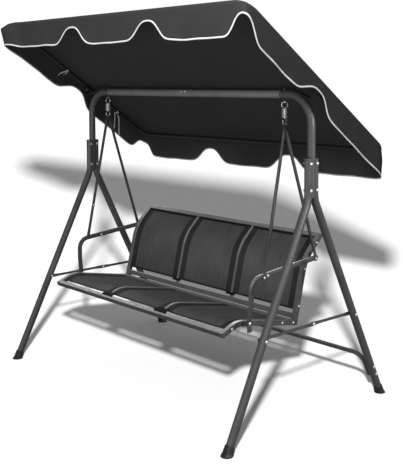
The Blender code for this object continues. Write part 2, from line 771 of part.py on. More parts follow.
def build_chair(steel, zinc, textile):
    pivot = Vector((0, 0, PIN_Z))
    for side, side_name in ((-1, "left"), (1, "right")):
        build_spring("spring_" + side_name, side, zinc)
        build_pin("hanger_pin_" + side_name, side, zinc, pivot)
        build_rod("hanger_rod_front_" + side_name, side, 1, FRONT_ROD_LOW, steel, pivot)
        build_rod("hanger_rod_rear_" + side_name, side, -1, REAR_ROD_LOW, steel, pivot)
        build_arm("arm_rest_" + side_name, side, steel, pivot)
    build_seat_frame(steel, pivot)
    build_back_frame(steel, pivot)
    gap = RAIL / 2 + GAP
    build_panels("seat", trimmed(seat_line(), SEAT_PANEL_FRONT, SEAT_PANEL_BACK), textile, pivot)
    build_panels("back", trimmed(back_line(), BACK_PANEL_LOW, gap), textile, pivot)


def build_canopy(steel, plastic, cloth):
    pivot = Vector((0, 0, PIVOT_Z))
    build_canopy_frame(steel, pivot)
    for side, side_name in ((-1, "left"), (1, "right")):
        build_knob("canopy_knob_" + side_name, side, plastic)
    build_canopy_top("canopy_top", cloth, pivot)
    for edge, tag in enumerate(("front", "right", "rear", "left")):
        build_valance("valance_" + tag, edge, cloth, pivot)


def main():
    clear_scene()
    steel = make_material("powder_coated_steel", (0.055, 0.056, 0.058), 0.42, 0.0)
    zinc = make_material("zinc_plated_steel", (0.62, 0.63, 0.64), 0.28, 1.0)
    plastic = make_material("black_plastic", (0.012, 0.012, 0.012), 0.45)
    textile = make_material("woven_textile", (0.045, 0.046, 0.048), 0.75)
    cloth = make_material("canopy_polyester", (0.060, 0.061, 0.063), 0.85)
    build_frame(steel, zinc, plastic)
    build_chair(steel, zinc, textile)
    build_canopy(steel, plastic, cloth)


main()
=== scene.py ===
"""Look of the canopy swing bench: cloth, woven panels, springs, fasteners, finishes, studio."""
import json
import math

import bpy
from mathutils import Matrix, Vector

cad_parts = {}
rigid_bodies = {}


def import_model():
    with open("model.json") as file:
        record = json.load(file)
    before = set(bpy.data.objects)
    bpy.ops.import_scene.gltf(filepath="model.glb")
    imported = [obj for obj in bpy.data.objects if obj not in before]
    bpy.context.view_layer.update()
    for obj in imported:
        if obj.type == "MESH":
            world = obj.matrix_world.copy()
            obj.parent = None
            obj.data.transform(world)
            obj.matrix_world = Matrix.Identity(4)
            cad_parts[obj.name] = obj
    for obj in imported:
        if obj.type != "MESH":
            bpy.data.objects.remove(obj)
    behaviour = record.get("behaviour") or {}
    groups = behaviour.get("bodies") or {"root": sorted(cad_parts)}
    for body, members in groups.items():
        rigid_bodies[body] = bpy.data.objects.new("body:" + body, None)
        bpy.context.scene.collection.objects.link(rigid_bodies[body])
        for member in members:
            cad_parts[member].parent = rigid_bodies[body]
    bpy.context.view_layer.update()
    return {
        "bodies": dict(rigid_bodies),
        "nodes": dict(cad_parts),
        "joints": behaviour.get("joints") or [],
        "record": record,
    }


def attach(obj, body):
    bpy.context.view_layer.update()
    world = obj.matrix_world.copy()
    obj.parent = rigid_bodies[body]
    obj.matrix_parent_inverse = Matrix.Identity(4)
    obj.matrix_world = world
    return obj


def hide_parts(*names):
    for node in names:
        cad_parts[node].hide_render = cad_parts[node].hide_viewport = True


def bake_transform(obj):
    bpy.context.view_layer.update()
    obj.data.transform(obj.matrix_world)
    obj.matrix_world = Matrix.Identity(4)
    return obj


# Geometry shared with the CAD model, in metres
FRAME_X = 0.860
LEG_R = 0.019
BAR_Z = 1.512
LEG_OUTSIDE = FRAME_X + LEG_R - 0.0002  # a washer sinks this little into the tube
LEG_INSIDE = FRAME_X - LEG_R + 0.0002
HANG_X = 0.697
SPRING_TOP = 1.4766
SPRING_LOW = 1.371
SPRING_COIL_R = 0.0122
SPRING_LOOP_R = 0.014
SPRING_WIRE = 0.0018
SPRING_TURNS = 10
RAIL = 0.025
SIDE_X = 0.6625
DIVIDER_X = 0.217
SEAT_LINE = ((-0.3705, 0.4435), (-0.283, 0.478), (0.108, 0.4035))
BACK_LINE = ((0.108, 0.4035), (0.182, 0.700), (0.292, 0.803))
SEAT_PANEL_FRONT = 0.030
SEAT_PANEL_BACK = 0.045
BACK_PANEL_LOW = 0.0605
PANEL_OFFSET = 0.0040
PANEL_TO_DIVIDER = 0.0092
PANEL_STEP = 0.0105
STITCH_OUT = 0.0072
STITCH_IN = 0.0380
CANOPY_TILT = math.radians(35)
PIVOT_Z = 1.526
CANOPY_LIFT = 0.020
CANOPY_X = 0.930
CANOPY_FRONT = -0.615
CANOPY_REAR = 0.540
CANOPY_R = 0.011
CANOPY_CORNER = 0.070
CLOTH_GAP = 0.0008
CORNER_FILL = 1.25          # how far the front corners of the cover reach past the rounded tube
REAR_CORNER_SHARE = 0.5     # the rear corners reach this share of that
CORNER_POWER = 6            # how square they are
CORNER_FLARE = 0.060        # extra reach of the front-left corner, which has no scallop
FLARE_LENGTH = 0.13         # the extra reach fades out over this distance
CORNER_TIP = 0.055          # depth below the roof at which a corner stands out furthest
VALANCE_DROP = 0.125
END_LEAN = math.tan(math.radians(33))
LEAN_START = 0.0165
LEAN_FROM = 0.10
NOTCH_TOP = 0.057           # flap depth left at the top of a scallop
NOTCH_WIDTH = 0.097
NOTCH_POWER = 2.8           # how abruptly a scallop's foot begins
CORNER_NOTCH_WIDTH = 0.062  # the scallops cut over a corner are narrower
FRONT_EXTRA = 0.014         # the front flap hangs this much deeper towards its right end
ARC_STEPS = 8               # stations on half a corner of the cover
STATION_STEP = 0.014
ROOF_STEPS = 22             # points from the middle of the roof to its edge
ROLL_STEPS = 4              # points over the tube
FLAP_STEPS = 14             # points down a flap

# Camera
CAMERA_PLACE = (3.347, -2.934, 1.583)
CAMERA_YAW = math.radians(47.73)
CAMERA_PITCH = math.radians(4)
CAMERA_ROLL = math.radians(-0.28)
CAMERA_LENS = 64.93
CAMERA_SHIFT = -0.2040

# Lights: the floor has its own lamp; softboxes list place, power, width and what they light
SKY_LIGHT = 0.30
FLOOR_LAMP = (3.264, -3.049, 2.65)
FLOOR_POWER = 130
FLOOR_GAIN = 0.12           # per metre of distance
FLOOR_LAMP_SIZE = 0.12
LIGHT_TARGET = Vector((0, 0, 1))
SOFTBOXES = {
    "key_softbox": ((2.4, -3.2, 2.6), 75, 1.2, "metal and panels"),
    "low_softbox": ((0.6, -3.6, 0.3), 60, 1.0, "frame metal"),
    "side_softbox": ((3.4, 0.4, 1.9), 85, 0.7, "metal and panels"),
    "left_softbox": ((-3.6, 1.0, 3.4), 90, 2.0, "metal and panels"),
    "rear_softbox": ((-3.0, 2.8, 3.6), 200, 2.0, "chair metal"),
    "top_softbox": ((0.4, -2.0, 4.2), 260, 2.0, "chair metal"),
    "bar_softbox": ((0.9, -3.0, 1.9), 60, 0.8, "top bar"),
    "low_bar_softbox": ((0.6, -2.6, 0.4), 50, 0.5, "top bar"),
    "cover_softbox": ((2.5, -3.6, 4.6), 450, 1.5, "cover"),
    "roof_softbox": ((-1.0, 3.4, 4.4), 260, 2.0, "cover"),
    "inner_softbox": ((3.2, -2.0, 0.9), 14, 1.2, "cover"),
    "seat_softbox": ((0.6, -2.4, 2.8), 110, 1.2, "seat panels"),
    "back_softbox": ((0.3, -1.7, 0.58), 50, 1.0, "back panels"),
}
THROUGH_COVER = ("rear_softbox", "top_softbox")

X_AXIS = Vector((1, 0, 0))


# ---------------------------------------------------------------- mesh helpers

def mesh_object(name, verts, faces, materials):
    """New object from vertices and faces, linked to the scene."""
    mesh = bpy.data.meshes.new(name)
    mesh.from_pydata([tuple(v) for v in verts], [], faces)
    for mat in materials:
        mesh.materials.append(mat)
    mesh.shade_smooth()
    obj = bpy.data.objects.new(name, mesh)
    bpy.context.scene.collection.objects.link(obj)
    return obj


def skin(rings, loop_rings=False, loop_points=True):
    """Vertices and quads of a stack of rings with equal point counts."""
    count = len(rings[0])
    verts = [p for ring in rings for p in ring]
    faces = []
    for i in range(len(rings) if loop_rings else len(rings) - 1):
        j = (i + 1) % len(rings)
        for k in range(count if loop_points else count - 1):
            m = (k + 1) % count
            faces.append((i * count + k, j * count + k, j * count + m, i * count + m))
    return verts, faces


def rounded(points, radius, steps):
    """Polyline whose inner corners are arcs."""
    points = [Vector(p) for p in points]
    path = [points[0]]
    for i in range(1, len(points) - 1):
        before = (points[i - 1] - points[i]).normalized()
        after = (points[i + 1] - points[i]).normalized()
        half = before.angle(after) / 2
        reach = radius / math.tan(half)
        centre = points[i] + (before + after).normalized() * (radius / math.sin(half))
        start = points[i] + before * reach - centre
        end = points[i] + after * reach - centre
        turn = start.angle(end)
        for k in range(steps + 1):
            a = turn * k / steps
            mix = start * math.sin(turn - a) + end * math.sin(a)
            path.append(centre + mix / math.sin(turn))
    path.append(points[-1])
    return path


def resampled(path, spacing):
    """Polyline with even steps."""
    lengths = [0.0]
    for a, b in zip(path, path[1:]):
        lengths.append(lengths[-1] + (b - a).length)
    count = max(2, round(lengths[-1] / spacing))
    result = []
    j = 0
    for i in range(count + 1):
        want = lengths[-1] * i / count
        while j < len(path) - 2 and lengths[j + 1] < want:
            j += 1
        part = (want - lengths[j]) / (lengths[j + 1] - lengths[j])
        result.append(path[j].lerp(path[j + 1], min(1.0, part)))
    return result


def tangents(path, loop=False):
    """Direction of travel at each point."""
    result = []
    last = len(path) - 1
    for i in range(len(path)):
        ahead = path[(i + 1) % len(path)] if loop else path[min(i + 1, last)]
        behind = path[i - 1] if loop else path[max(i - 1, 0)]
        result.append((ahead - behind).normalized())
    return result


def wire(name, path, radius, sides, mat):
    """Round wire along a path, with domed ends."""
    dirs = tangents(path)
    u = dirs[0].orthogonal().normalized()
    rings = []
    for i, (centre, along) in enumerate(zip(path, dirs)):
        u = (u - along * u.dot(along)).normalized()
        w = along.cross(u)
        ring = []
        for k in range(sides):
            a = 2 * math.pi * k / sides
            ring.append(centre + (u * math.cos(a) + w * math.sin(a)) * radius)
        if i == 0:
            rings.append([centre + (p - centre) * 0.5 - along * radius * 0.5 for p in ring])
        rings.append(ring)
        if i == len(path) - 1:
            rings.append([centre + (p - centre) * 0.5 + along * radius * 0.5 for p in ring])
    verts, faces = skin(rings)
    faces.append(tuple(range(sides)))
    faces.append(tuple(reversed(range(len(verts) - sides, len(verts)))))
    return mesh_object(name, verts, faces, [mat])


def frame_of(axis):
    """Unit axis and two directions across it."""
    axis = Vector(axis).normalized()
    u = axis.orthogonal().normalized()
    return axis, u, axis.cross(u)


def turned_part(centre, axis, stations, sides):
    """Vertices and faces of a turned shape; stations are (along, radius)."""
    axis, u, w = frame_of(axis)
    centre = Vector(centre)
    rings = []
    for along, radius in stations:
        ring = []
        for k in range(sides):
            a = 2 * math.pi * (k + 0.5) / sides
            ring.append(centre + axis * along + (u * math.cos(a) + w * math.sin(a)) * radius)
        rings.append(ring)
    verts, faces = skin(rings)
    faces.append(tuple(range(sides)))
    faces.append(tuple(reversed(range(len(verts) - sides, len(verts)))))
    return verts, faces


def merged(name, parts, mat):
    """One object from several (vertices, faces) parts."""
    verts = []
    faces = []
    for part_verts, part_faces in parts:
        base = len(verts)
        verts += part_verts
        faces += [tuple(i + base for i in face) for face in part_faces]
    obj = mesh_object(name, verts, faces, [mat])
    obj.data.set_sharp_from_angle(angle=math.radians(40))
    return obj


# ------------------------------------------------------------------- materials

class Finish:
    """Small helper around one Principled material."""

    def __init__(self, name):
        self.mat = bpy.data.materials.new(name)
        self.mat.use_nodes = True
        self.tree = self.mat.node_tree
        self.shader = self.tree.nodes["Principled BSDF"]

    def node(self, kind, **settings):
        node = self.tree.nodes.new(kind)
        for key, value in settings.items():
            if key in node.inputs:
                node.inputs[key].default_value = value
            else:
                setattr(node, key, value)
        return node

    def link(self, output, target):
        self.tree.links.new(output, target)

    def set(self, **values):
        for key, value in values.items():
            self.shader.inputs[key.replace("_", " ")].default_value = value

    def coords(self, output="Object", stretch=(1, 1, 1)):
        place = self.node("ShaderNodeTexCoord")
        mapping = self.node("ShaderNodeMapping")
        mapping.inputs["Scale"].default_value = stretch
        self.link(place.outputs[output], mapping.inputs["Vector"])
        return mapping.outputs["Vector"]

    def noise(self, vector, scale, detail=3.0, roughness=0.55):
        tex = self.node("ShaderNodeTexNoise")
        tex.inputs["Scale"].default_value = scale
        tex.inputs["Detail"].default_value = detail
        tex.inputs["Roughness"].default_value = roughness
        self.link(vector, tex.inputs["Vector"])
        return tex.outputs["Fac"]

    def wave(self, vector, direction, period):
        tex = self.node("ShaderNodeTexWave", bands_direction=direction)
        tex.inputs["Scale"].default_value = 2 * math.pi / (20 * period)
        self.link(vector, tex.inputs["Vector"])
        return tex.outputs["Fac"]

    def math(self, operation, a, b):
        node = self.node("ShaderNodeMath", operation=operation)
        for value, socket in ((a, node.inputs[0]), (b, node.inputs[1])):
            if isinstance(value, (int, float)):
                socket.default_value = value
            else:
                self.link(value, socket)
        return node.outputs[0]

    def ramp(self, fac, low, high, start=0.3, end=0.7):
        node = self.node("ShaderNodeValToRGB")
        stops = node.color_ramp.elements
        stops[0].position = start
        stops[0].color = (*low, 1) if isinstance(low, tuple) else (low, low, low, 1)
        stops[1].position = end
        stops[1].color = (*high, 1) if isinstance(high, tuple) else (high, high, high, 1)
        self.link(fac, node.inputs["Fac"])
        return node.outputs["Color"]

    def bump(self, height, distance, strength=1.0):
        node = self.node("ShaderNodeBump")
        node.inputs["Strength"].default_value = strength
        node.inputs["Distance"].default_value = distance
        self.link(height, node.inputs["Height"])
        self.link(node.outputs["Normal"], self.shader.inputs["Normal"])


def powder_coat(name, dark, light):
    """Satin powder coat: orange peel, faint cloudiness and a clear top layer."""
    fin = Finish(name)
    where = fin.coords()
    fin.link(fin.ramp(fin.noise(where, 9.0, 4.0), dark, light), fin.shader.inputs["Base Color"])
    fin.link(fin.ramp(fin.noise(where, 60.0), 0.40, 0.52), fin.shader.inputs["Roughness"])
    peel = fin.math("ADD", fin.noise(where, 420.0, 1.0), fin.noise(where, 1500.0, 0.0))
    fin.bump(peel, 0.0003, 0.12)
    fin.set(Metallic=0.15, Specular_IOR_Level=0.35)
    fin.set(Coat_Weight=0.06, Coat_Roughness=0.25)
    return fin.mat


def zinc_plate(name, dark, light):
    """Zinc with a faint spangle and drawn streaks."""
    fin = Finish(name)
    where = fin.coords()
    spangle = fin.noise(where, 240.0, 2.0)
    fin.link(fin.ramp(spangle, dark, light), fin.shader.inputs["Base Color"])
    fin.link(fin.ramp(fin.noise(where, 500.0), 0.28, 0.45), fin.shader.inputs["Roughness"])
    fin.bump(fin.noise(where, 900.0), 0.0002, 0.3)
    fin.set(Metallic=1.0)
    return fin.mat


def moulded_plastic(name, shade):
    """Black moulded plastic with a fine spark-eroded grain."""
    fin = Finish(name)
    where = fin.coords()
    cloud = fin.noise(where, 30.0)
    fin.link(fin.ramp(cloud, shade, shade * 1.8), fin.shader.inputs["Base Color"])
    fin.link(fin.ramp(fin.noise(where, 80.0), 0.38, 0.52), fin.shader.inputs["Roughness"])
    fin.bump(fin.noise(where, 1400.0, 1.0), 0.0003, 0.5)
    return fin.mat


def woven_mesh(name, dark, light, cover):
    """Coated yarn in a plain weave that lets a little light by; UVs are in metres."""
    fin = Finish(name)
    where = fin.coords("UV")
    across = fin.wave(where, "X", 0.0024)
    along = fin.wave(where, "Y", 0.0024)
    knots = fin.math("MULTIPLY", across, along)
    streaks = fin.noise(fin.coords("UV", (150, 7, 1)), 1.0, 4.0)
    cloud = fin.noise(where, 7.0, 3.0)
    mixed = fin.math("ADD", fin.math("MULTIPLY", streaks, 0.5), fin.math("MULTIPLY", cloud, 0.3))
    mixed = fin.math("ADD", mixed, fin.math("MULTIPLY", knots, 0.2))
    fin.link(fin.ramp(mixed, dark, light, 0.30, 0.62), fin.shader.inputs["Base Color"])
    fin.link(fin.ramp(streaks, 0.55, 0.75), fin.shader.inputs["Roughness"])
    fin.bump(fin.math("ADD", knots, fin.math("MULTIPLY", streaks, 0.3)), 0.0006, 0.5)
    fin.set(Specular_IOR_Level=0.06, Alpha=cover)
    return fin.mat


def canopy_cloth(name, dark, light, shine):
    """Tight polyester plain weave with slubs and soft creases."""
    fin = Finish(name)
    where = fin.coords("UV")
    weave = fin.math("MULTIPLY", fin.wave(where, "X", 0.0016), fin.wave(where, "Y", 0.0016))
    slub = fin.noise(fin.coords("UV", (12, 160, 1)), 1.0, 3.0)
    cloud = fin.noise(where, 3.5, 4.0)
    mixed = fin.math("ADD", fin.math("MULTIPLY", cloud, 0.6), fin.math("MULTIPLY", slub, 0.3))
    mixed = fin.math("ADD", mixed, fin.math("MULTIPLY", weave, 0.15))
    fin.link(fin.ramp(mixed, dark, light, 0.3, 0.8), fin.shader.inputs["Base Color"])
    fin.link(fin.ramp(slub, 0.72, 0.90), fin.shader.inputs["Roughness"])
    crease = fin.math("MULTIPLY", fin.noise(where, 14.0, 4.0), 4.0)
    fin.bump(fin.math("ADD", weave, crease), 0.0009, 0.45)
    fin.set(Specular_IOR_Level=shine)
    return fin.mat


def binding_tape(name, dark, light):
    """Ribbed light tape that binds the edge of the flaps."""
    fin = Finish(name)
    where = fin.coords()
    rib = fin.noise(where, 700.0, 2.0)
    fin.link(fin.ramp(fin.noise(where, 40.0), dark, light), fin.shader.inputs["Base Color"])
    fin.link(fin.ramp(rib, 0.6, 0.8), fin.shader.inputs["Roughness"])
    fin.bump(rib, 0.0004, 0.6)
    fin.set(Sheen_Weight=0.2)
    return fin.mat


def studio_floor(name):
    """Paper that is white in view but dim as a source of bounced light."""
    fin = Finish(name)
    where = fin.coords()
    fin.link(fin.ramp(fin.noise(where, 2.0), 0.80, 0.82), fin.shader.inputs["Base Color"])
    fin.set(Roughness=0.9, Specular_IOR_Level=0.1)
    dim = fin.node("ShaderNodeBsdfDiffuse")
    dim.inputs["Color"].default_value = (0.24, 0.24, 0.24, 1)
    mix = fin.node("ShaderNodeMixShader")
    path = fin.node("ShaderNodeLightPath")
    fin.link(path.outputs["Is Camera Ray"], mix.inputs[0])
    fin.link(dim.outputs[0], mix.inputs[1])
    fin.link(fin.shader.outputs[0], mix.inputs[2])
    fin.link(mix.outputs[0], fin.tree.nodes["Material Output"].inputs["Surface"])
    return fin.mat


# ---------------------------------------------------------------------- canopy

def canopy_point(x, v, n):
    """Canopy tube plane to world: v to the rear, n out of the roof."""
    c = math.cos(CANOPY_TILT)
    s = math.sin(CANOPY_TILT)
    n += CANOPY_LIFT
    return Vector((x, v * c + n * s, PIVOT_Z - v * s + n * c))


def cover_stations():
    """Stations round the canopy: (x, v, outward x, outward v, side, distance from side start)."""
    half = CANOPY_X + CANOPY_R
    front = CANOPY_FRONT - CANOPY_R
    rear = CANOPY_REAR + CANOPY_R
    radius = CANOPY_CORNER + CANOPY_R
    corners = ((half - radius, front + radius, -90), (half - radius, rear - radius, 0),
               (-half + radius, rear - radius, 90), (-half + radius, front + radius, 180))
    quarter = radius * math.pi / 4
    stations = []
    for side in range(4):
        ax, av, a0 = corners[(side + 3) % 4]
        bx, bv, _ = corners[side]
        turn = math.radians(a0 + 90)
        ox, ov = math.cos(turn), math.sin(turn)
        run = math.hypot(bx - ax, bv - av)
        total = run + 2 * quarter
        for k in range(ARC_STEPS):
            a = turn - math.radians(45) * (1 - k / ARC_STEPS)
            c, s = math.cos(a), math.sin(a)
            place = quarter * k / ARC_STEPS
            stations.append((ax + radius * c, av + radius * s, c, s, side, place, total))
        count = round(run / STATION_STEP)
        for k in range(count + 1):
            t = k / count
            x = ax + (bx - ax) * t + radius * ox
            v = av + (bv - av) * t + radius * ov
            stations.append((x, v, ox, ov, side, quarter + run * t, total))
        for k in range(1, ARC_STEPS):
            a = turn + math.radians(45) * k / ARC_STEPS
            c, s = math.cos(a), math.sin(a)
            place = quarter + run + quarter * k / ARC_STEPS
            stations.append((bx + radius * c, bv + radius * s, c, s, side, place, total))
    return stations


def notch(distance, width):
    """Share of a scallop's height at a distance from its middle: round top, flared foot."""
    return math.exp(-(abs(distance) / width) ** NOTCH_POWER)


def end_weight(v):
    """1 at the front and rear flaps, falling to 0 towards the middle of the side flaps."""
    middle = (CANOPY_FRONT + CANOPY_REAR) / 2
    half = (CANOPY_REAR - CANOPY_FRONT) / 2
    return min(1.0, max(0.0, (abs(v - middle) - LEAN_FROM) / (half - LEAN_FROM)))


def corner_reach(x, v, ox, ov, place, total):
    """How far the unsupported corner of the cover stands out past the rounded tube."""
    turned = (abs(ox) ** CORNER_POWER + abs(ov) ** CORNER_POWER) ** (1 / CORNER_POWER)
    square = (1 / turned - 1) * (CANOPY_CORNER + CANOPY_R)
    reach = CORNER_FILL * square * (1.0 if v < 0 else REAR_CORNER_SHARE)
    if v < 0 and x < 0:
        away = min(place, total - place)
        reach += CORNER_FLARE * max(0.0, 1 - away / FLARE_LENGTH) ** 2
    return reach


def corner_rise(depth):
    """Share of the corner's reach at a depth below the roof; it hangs back lower down."""
    rise = min(1.0, depth / CORNER_TIP) ** 0.7
    return rise * (1 - 0.35 * max(0.0, depth - CORNER_TIP) / (VALANCE_DROP - CORNER_TIP))


def flap_depth(side, place, total):
    """Hanging depth of the flap: thirds at front and rear, halves at the sides."""
    if side in (0, 2):
        cuts = ((total / 3, NOTCH_WIDTH), (2 * total / 3, NOTCH_WIDTH), (total, CORNER_NOTCH_WIDTH))
    else:
        cuts = ((0.0, CORNER_NOTCH_WIDTH), (total / 2, NOTCH_WIDTH))
    drop = VALANCE_DROP + (FRONT_EXTRA * place / total if side == 0 else 0.0)
    return drop - (drop - NOTCH_TOP) * sum(notch(place - middle, width) for middle, width in cuts)


def roof_sag(x, v):
    """The roof dips a little between the tubes."""
    middle = (CANOPY_FRONT + CANOPY_REAR) / 2
    a = min(1.0, abs(x) / CANOPY_X)
    b = min(1.0, abs(v - middle) / ((CANOPY_REAR - CANOPY_FRONT) / 2))
    ripple = 0.0012 * math.sin(9 * x + 3 * v) + 0.0008 * math.sin(4 * x - 14 * v)
    return -(1 - a ** 3) * (1 - b ** 3) * (0.010 + ripple)


def flap_wave(travel, part):
    """Soft outward and inward swell of the hanging cloth."""
    swell = 0.0030 * math.sin(travel / 0.052 + 0.7) + 0.0018 * math.sin(travel / 0.027)
    return swell * part ** 1.6


def build_cover(outer, inner, tape):
    """One continuous cloth: sagging roof, roll over the tubes and scalloped flaps."""
    stations = cover_stations()
    middle = (CANOPY_FRONT + CANOPY_REAR) / 2
    roll = CANOPY_R + CLOTH_GAP
    columns = []
    travel = 0.0
    previous = None
    for x, v, ox, ov, side, place, total in stations:
        if previous:
            travel += math.hypot(x - previous[0], v - previous[1])
        previous = (x, v)
        column = []
        cx, cv = x - ox * CANOPY_R, v - ov * CANOPY_R
        for k in range(ROOF_STEPS):
            t = ((k + 1) / ROOF_STEPS) ** 0.7
            px, pv = cx * t, middle + (cv - middle) * t
            column.append(canopy_point(px, pv, roll + roof_sag(px, pv)))
        corner = corner_reach(x, v, ox, ov, place, total)
        for k in range(1, ROLL_STEPS + 1):
            a = math.radians(90 - 90 * k / ROLL_STEPS)
            reach = roll * math.cos(a) + corner * corner_rise(roll - roll * math.sin(a))
            column.append(canopy_point(cx + ox * reach, cv + ov * reach, roll * math.sin(a)))
        depth = flap_depth(side, place, total) - roll
        lean = END_LEAN * end_weight(v)
        for k in range(1, FLAP_STEPS + 1):
            down = depth * k / FLAP_STEPS
            part = down / VALANCE_DROP
            swing = lean * max(0.0, down + roll - LEAN_START)
            out = CLOTH_GAP + flap_wave(travel, part) + corner * corner_rise(roll + down)
            column.append(canopy_point(x + ox * out, v + ov * out + swing, -down))
        columns.append(column)
    verts, faces = skin(columns, loop_rings=True, loop_points=False)
    count = len(columns[0])
    faces.append(tuple(i * count for i in reversed(range(len(columns)))))
    cover = mesh_object("canopy_cover", verts, faces, [outer, inner])
    cover.data.set_sharp_from_angle(angle=math.radians(40))
    add_cloth_uv(cover)
    mod = cover.modifiers.new("thickness", "SOLIDIFY")
    mod.thickness = 0.0010
    mod.offset = 1.0
    # The inside faces take the second, darker material: painted shade under the canopy.
    mod.material_offset = 1
    mod.material_offset_rim = 0
    binding = build_binding([c[-2] for c in columns], [c[-1] for c in columns], tape)
    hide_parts("canopy_top", "valance_front", "valance_rear", "valance_left", "valance_right")
    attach(cover, "canopy")
    return cover, binding


def add_cloth_uv(obj):
    """UVs in metres: box-mapped from the canopy plane, so that the weave keeps its scale."""
    mesh = obj.data
    layer = mesh.uv_layers.new(name="cloth")
    c = math.cos(CANOPY_TILT)
    s = math.sin(CANOPY_TILT)
    for poly in mesh.polygons:
        normal = poly.normal
        out = abs(normal.y * s + normal.z * c)
        for index in poly.loop_indices:
            p = mesh.vertices[mesh.loops[index].vertex_index].co
            v = p.y * c - p.z * s
            n = p.y * s + p.z * c
            if out > 0.6:
                uv = (p.x, v)
            elif abs(normal.x) > 0.6:
                uv = (v, n)
            else:
                uv = (p.x, n)
            layer.data[index].uv = uv


def build_binding(above, edge, mat):
    """Tape folded over the scalloped edge."""
    half_height = 0.0040
    half_thick = 0.0014
    dirs = tangents(edge, loop=True)
    rings = []
    for i, point in enumerate(edge):
        along = dirs[i]
        down = (point - above[i])
        down = (down - along * down.dot(along)).normalized()
        out = along.cross(down)
        centre = point - down * 0.0022
        ring = []
        for k in range(10):
            a = 2 * math.pi * k / 10
            ring.append(centre + down * half_height * math.cos(a) + out * half_thick * math.sin(a))
        rings.append(ring)
    verts, faces = skin(rings, loop_rings=True)
    tape = mesh_object("canopy_edge_binding", verts, faces, [mat])
    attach(tape, "canopy")
    return tape


# ---------------------------------------------------------------- woven panels

def profile_line(corners, radius, start_cut, end_cut, offset):
    """Panel line in the YZ plane, trimmed at both ends and moved towards the sitter."""
    path = rounded([(0, *p) for p in corners], radius, 10)
    path[0] = path[0] + (path[1] - path[0]).normalized() * start_cut
    path[-1] = path[-1] + (path[-2] - path[-1]).normalized() * end_cut
    path = resampled(path, PANEL_STEP)
    dirs = tangents(path)
    normals = [X_AXIS.cross(d) for d in dirs]
    return [p + n * offset for p, n in zip(path, normals)], normals


def build_panel(name, node, line, normals, x0, x1, sag, main, hem):
    """Woven panel: sewn sleeves along both sides, narrow hems at both ends."""
    sleeve = 0.040
    end_hem = 1
    edge = [(0.0, -0.0014), (0.0004, 0.0010), (0.0018, 0.0022), (0.0042, 0.0022), (0.0062, 0.0006)]
    edge += [(sleeve * t, 0.0003) for t in (0.40, 0.60, 0.80, 0.97)]
    edge += [(sleeve, -0.0006)]
    span = x1 - x0 - 2 * sleeve
    columns = [(x0 + a, h) for a, h in edge]
    columns += [(x0 + sleeve + span * k / 24, -0.0006) for k in range(1, 24)]
    columns += [(x1 - a, h) for a, h in reversed(edge)]
    bands = len(edge) - 1
    rows = []
    last = len(line) - 1
    for i, (point, normal) in enumerate(zip(line, normals)):
        row = []
        fall = 0.35 + 0.65 * math.sin(math.pi * i / last)
        for x, height in columns:
            u = (x - (x0 + x1) / 2) / ((x1 - x0) / 2)
            dip = sag * fall * (1 - u * u)
            row.append(point + X_AXIS * x + normal * (height - dip))
        rows.append(row)
    verts, faces = skin(rows, loop_points=False)
    panel = mesh_object(name, verts, faces, [main, hem])
    width = len(columns) - 1
    layer = panel.data.uv_layers.new(name="cloth")
    for poly in panel.data.polygons:
        row, column = divmod(poly.index, width)
        if column < bands or column >= width - bands or row < end_hem or row >= last - end_hem:
            poly.material_index = 1
        for index in poly.loop_indices:
            vertex = panel.data.loops[index].vertex_index
            i, k = divmod(vertex, width + 1)
            layer.data[index].uv = (columns[k][0], i * PANEL_STEP)
    mod = panel.modifiers.new("thickness", "SOLIDIFY")
    mod.thickness = 0.0008
    mod.offset = 0.0
    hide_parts(node)
    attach(panel, "chair")
    return panel


def build_panels(main, hem, thread):
    """Six woven panels and their rows of stitches, by seat and back."""
    gap = RAIL / 2 + 0.0006
    lines = {
        "seat": profile_line(SEAT_LINE, 0.15, SEAT_PANEL_FRONT, SEAT_PANEL_BACK, PANEL_OFFSET),
        "back": profile_line(BACK_LINE, 0.20, BACK_PANEL_LOW, gap, PANEL_OFFSET),
    }
    edge = SIDE_X - RAIL / 2 - 0.0006
    outer = DIVIDER_X + PANEL_TO_DIVIDER
    inner = DIVIDER_X - PANEL_TO_DIVIDER
    spans = (("left", -edge, -outer), ("middle", -inner, inner), ("right", outer, edge))
    built = {"seat": [], "back": []}
    for kind, (line, normals) in lines.items():
        sag = 0.006 if kind == "seat" else 0.004
        stitches = []
        for tag, x0, x1 in spans:
            panel = build_panel(f"{kind}_cloth_{tag}", f"{kind}_panel_{tag}", line, normals, x0, x1,
                                sag, main, hem)
            built[kind].append(panel)
            for x in (x0 + STITCH_OUT, x0 + STITCH_IN, x1 - STITCH_OUT, x1 - STITCH_IN):
                stitches += stitch_row([p + X_AXIS * x + n * 0.0008 for p, n in zip(line, normals)])
        rows = merged(f"{kind}_panel_stitching", stitches, thread)
        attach(rows, "chair")
    return built


def build_tabs(hem):
    """Ends of the sewn sleeves that lap over the front rail and over the dividers' lower ends."""
    seat = rounded([(0, *p) for p in SEAT_LINE], 0.15, 10)
    back = rounded([(0, *p) for p in BACK_LINE], 0.20, 10)
    laps = (("seat", seat, 0.044, ((0.036, 0.0120), (0.020, 0.0142), (0.003, 0.0142))),
            ("back", back, 0.034, ((0.064, 0.0122), (0.058, 0.0122), (0.052, 0.0122))))
    for kind, line, half, stations in laps:
        along = (line[1] - line[0]).normalized()
        normal = X_AXIS.cross(along)
        for side, tag in ((-1, "left"), (1, "right")):
            rows = []
            for cut, height in stations:
                middle = line[0] + along * cut + normal * height + X_AXIS * side * DIVIDER_X
                rows.append([middle + X_AXIS * half * k / 4 for k in range(-4, 5)])
            verts, faces = skin(rows, loop_points=False)
            tab = mesh_object(f"{kind}_sleeve_end_{tag}", verts, faces, [hem])
            mod = tab.modifiers.new("thickness", "SOLIDIFY")
            mod.thickness = 0.0010
            mod.offset = 0.0
            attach(tab, "chair")


